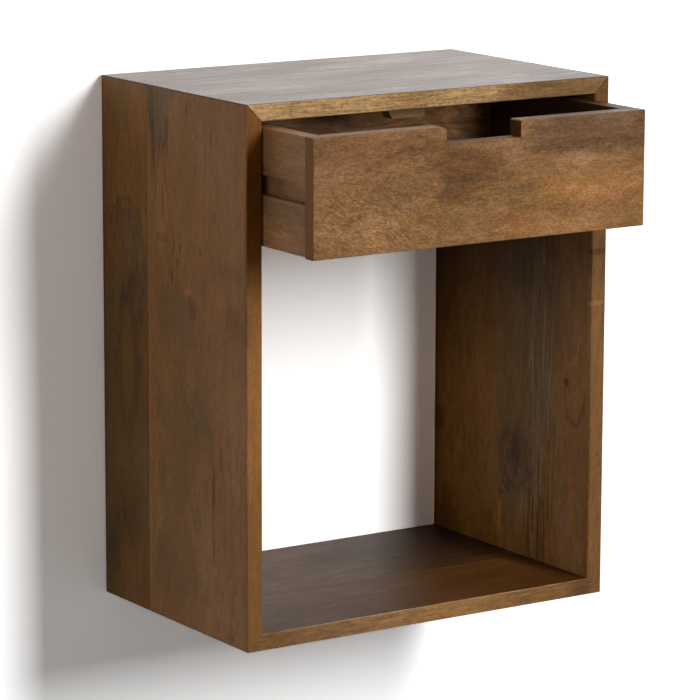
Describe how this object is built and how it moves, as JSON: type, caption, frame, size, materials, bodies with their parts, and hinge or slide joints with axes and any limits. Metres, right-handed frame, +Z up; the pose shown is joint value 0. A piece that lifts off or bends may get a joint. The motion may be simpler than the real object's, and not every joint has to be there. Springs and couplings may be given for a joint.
{
  "type": "floating table",
  "caption": "Wall-hung bedside table: an open mitred hardwood case with one sliding drawer that has a finger notch, on a hanging rail.",
  "frame": {"origin": "on the wall plane, midway between the two holes for the wall screws in the hanging rail", "axes": "+X to the right as seen from the front, +Y into the wall, +Z up"},
  "size_m": [0.4, 0.34, 0.5],
  "materials": {
    "case_wood": "brown stain under a satin lacquer, open grain along each board",
    "drawer_wood": "brown stain under a satin lacquer, lighter than the case, grain along the width",
    "rail_wood": "stained hardwood, waxed where it slides",
    "pale_wood": "bare hardwood",
    "plywood": "thin veneered plywood with a brown stain",
    "screw_steel": "zinc-plated"
  },
  "bodies": {
    "case": {"top_front_board": "case_wood", "top_rear_board": "case_wood", "bottom_front_board": "case_wood", "bottom_rear_board": "case_wood", "left_front_board": "case_wood", "left_rear_board": "case_wood", "right_front_board": "case_wood", "right_rear_board": "case_wood", "top_left_spline": "pale_wood", "top_right_spline": "pale_wood", "bottom_left_spline": "pale_wood", "bottom_right_spline": "pale_wood", "hanging_rail": "rail_wood", "rail_dowels": "pale_wood", "left_runner": "rail_wood", "right_runner": "rail_wood", "runner_screws": "screw_steel", "stop_block": "pale_wood", "stop_block_screw": "screw_steel"},
    "drawer": {"drawer_front": "drawer_wood", "drawer_left_side": "drawer_wood", "drawer_right_side": "drawer_wood", "drawer_back": "drawer_wood", "drawer_bottom": "plywood", "drawer_front_dowels": "pale_wood", "drawer_back_dowels": "pale_wood", "drawer_bottom_screws": "screw_steel"}
  },
  "joints": [
    {"name": "drawer_slide", "type": "slide", "parent": "case", "child": "drawer", "axis": [0, -1, 0], "range_m": [-0.08, 0.0877]}
  ]
}
